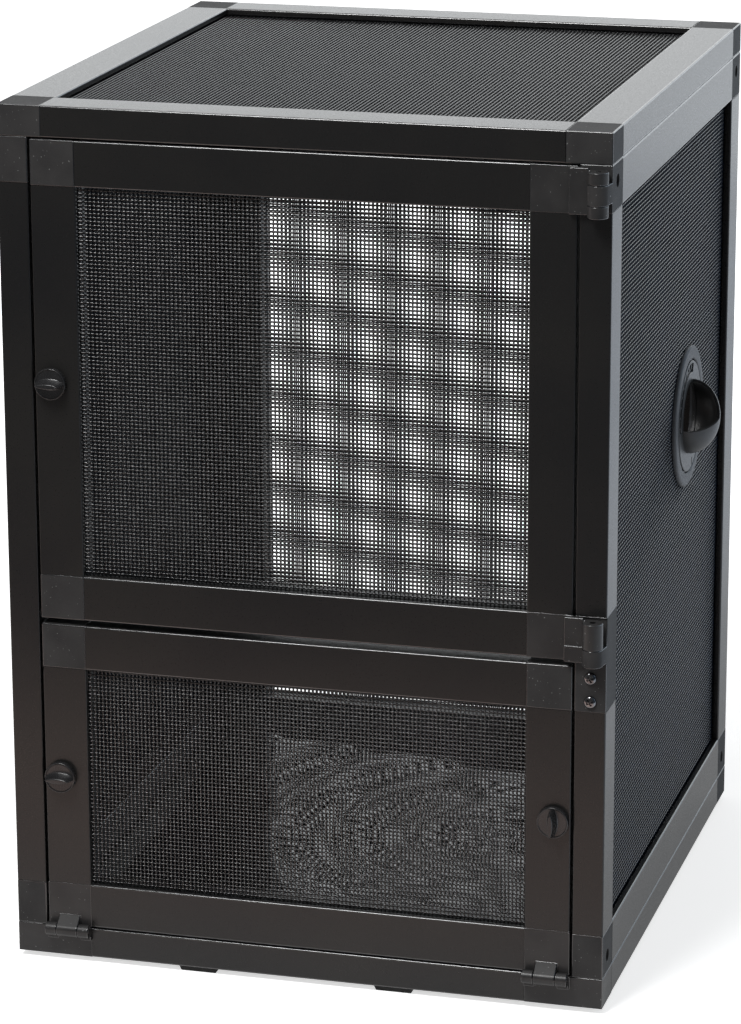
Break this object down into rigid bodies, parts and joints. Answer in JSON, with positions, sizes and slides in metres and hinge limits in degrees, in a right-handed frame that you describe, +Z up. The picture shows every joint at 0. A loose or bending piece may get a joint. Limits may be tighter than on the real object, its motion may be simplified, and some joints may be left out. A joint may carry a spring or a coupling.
{
  "type": "mesh reptile cage",
  "caption": "Free-standing screen cage for reptiles: dark framed mesh panels on a solid floor, a side-hinged upper door, a drop-down lower door, quarter-turn latches and a hooded side port.",
  "frame": {"origin": "centre of the bounding box on the surface that the feet stand on", "axes": "+Z up, -Y towards the doors at the front, +X towards the hinge side and the port"},
  "size_m": [0.4398, 0.4644, 0.608],
  "materials": {
    "frame_coating": "satin black coating",
    "corner_plastic": "fine moulded grain",
    "mesh_wire": "black coated woven thread",
    "floor_plastic": "glossy thin sheet",
    "spline_rubber": "matte",
    "port_plastic": "satin",
    "knob_plastic": "gloss",
    "screw_steel": "bright"
  },
  "bodies": {
    "cage": {"base_front_rail": "frame_coating", "base_back_rail": "frame_coating", "base_side_rails": "frame_coating", "lid_front_rail": "frame_coating", "lid_back_rail": "frame_coating", "lid_side_rails": "frame_coating", "left_front_post": "frame_coating", "left_back_post": "frame_coating", "left_rails": "frame_coating", "right_upper_post": "frame_coating", "right_lower_post": "frame_coating", "right_back_post": "frame_coating", "right_rails": "frame_coating", "back_stiles": "frame_coating", "back_rails": "frame_coating", "base_back_corners": "corner_plastic", "base_hinge_corners": "corner_plastic", "lid_corners": "corner_plastic", "left_corners": "corner_plastic", "right_corners": "corner_plastic", "right_hinge_corner": "corner_plastic", "hinge_block": "corner_plastic", "back_corners": "corner_plastic", "lid_mesh": "mesh_wire", "left_mesh": "mesh_wire", "right_mesh": "mesh_wire", "back_mesh": "mesh_wire", "floor_sheet": "floor_plastic", "feet": "spline_rubber", "panel_splines": "spline_rubber", "port_bezel": "port_plastic", "port_clamp_ring": "port_plastic", "frame_screws": "screw_steel", "hinge_block_screws": "screw_steel", "lower_hinge_pins": "screw_steel"},
    "upper_door": {"upper_door_latch_stile": "frame_coating", "upper_door_hinge_stile": "frame_coating", "upper_door_top_rail": "frame_coating", "upper_door_bottom_rail": "frame_coating", "upper_door_corners": "corner_plastic", "upper_door_hinge_corners": "corner_plastic", "upper_door_mesh": "mesh_wire", "upper_door_spline": "spline_rubber", "upper_hinge_pins": "screw_steel"},
    "lower_door": {"lower_door_left_stile": "frame_coating", "lower_door_right_stile": "frame_coating", "lower_door_top_rail": "frame_coating", "lower_door_bottom_rail": "frame_coating", "lower_door_corners": "corner_plastic", "lower_door_hinge_corners": "corner_plastic", "lower_door_mesh": "mesh_wire", "lower_door_spline": "spline_rubber"},
    "upper_latch": {"upper_latch_knob": "knob_plastic", "upper_latch_tongue": "screw_steel"},
    "lower_left_latch": {"left_latch_knob": "knob_plastic", "left_latch_tongue": "screw_steel"},
    "lower_right_latch": {"right_latch_knob": "knob_plastic", "right_latch_tongue": "screw_steel"},
    "port_cover": {"port_cover": "port_plastic"}
  },
  "joints": [
    {"name": "upper_door_hinge", "type": "hinge", "parent": "cage", "child": "upper_door", "pos_m": [0.19215, -0.2253, 0.4184], "axis": [0, 0, 1], "range_deg": [0, 170]},
    {"name": "lower_door_hinge", "type": "hinge", "parent": "cage", "child": "lower_door", "pos_m": [-0.00985, -0.2232, 0.025], "axis": [1, 0, 0], "range_deg": [0, 95]},
    {"name": "upper_latch_turn", "type": "hinge", "parent": "upper_door", "child": "upper_latch", "pos_m": [-0.18495, -0.2178, 0.4184], "axis": [0, 1, 0], "range_deg": [0, 90]},
    {"name": "lower_left_latch_turn", "type": "hinge", "parent": "lower_door", "child": "lower_left_latch", "pos_m": [-0.18495, -0.2178, 0.137], "axis": [0, 1, 0], "range_deg": [0, 90]},
    {"name": "lower_right_latch_turn", "type": "hinge", "parent": "lower_door", "child": "lower_right_latch", "pos_m": [0.16525, -0.2178, 0.137], "axis": [0, -1, 0], "range_deg": [0, 90]},
    {"name": "port_cover_turn", "type": "hinge", "parent": "cage", "child": "port_cover", "pos_m": [0.19615, 0.0712, 0.3475], "axis": [1, 0, 0], "range_deg": [-90, 90]}
  ]
}
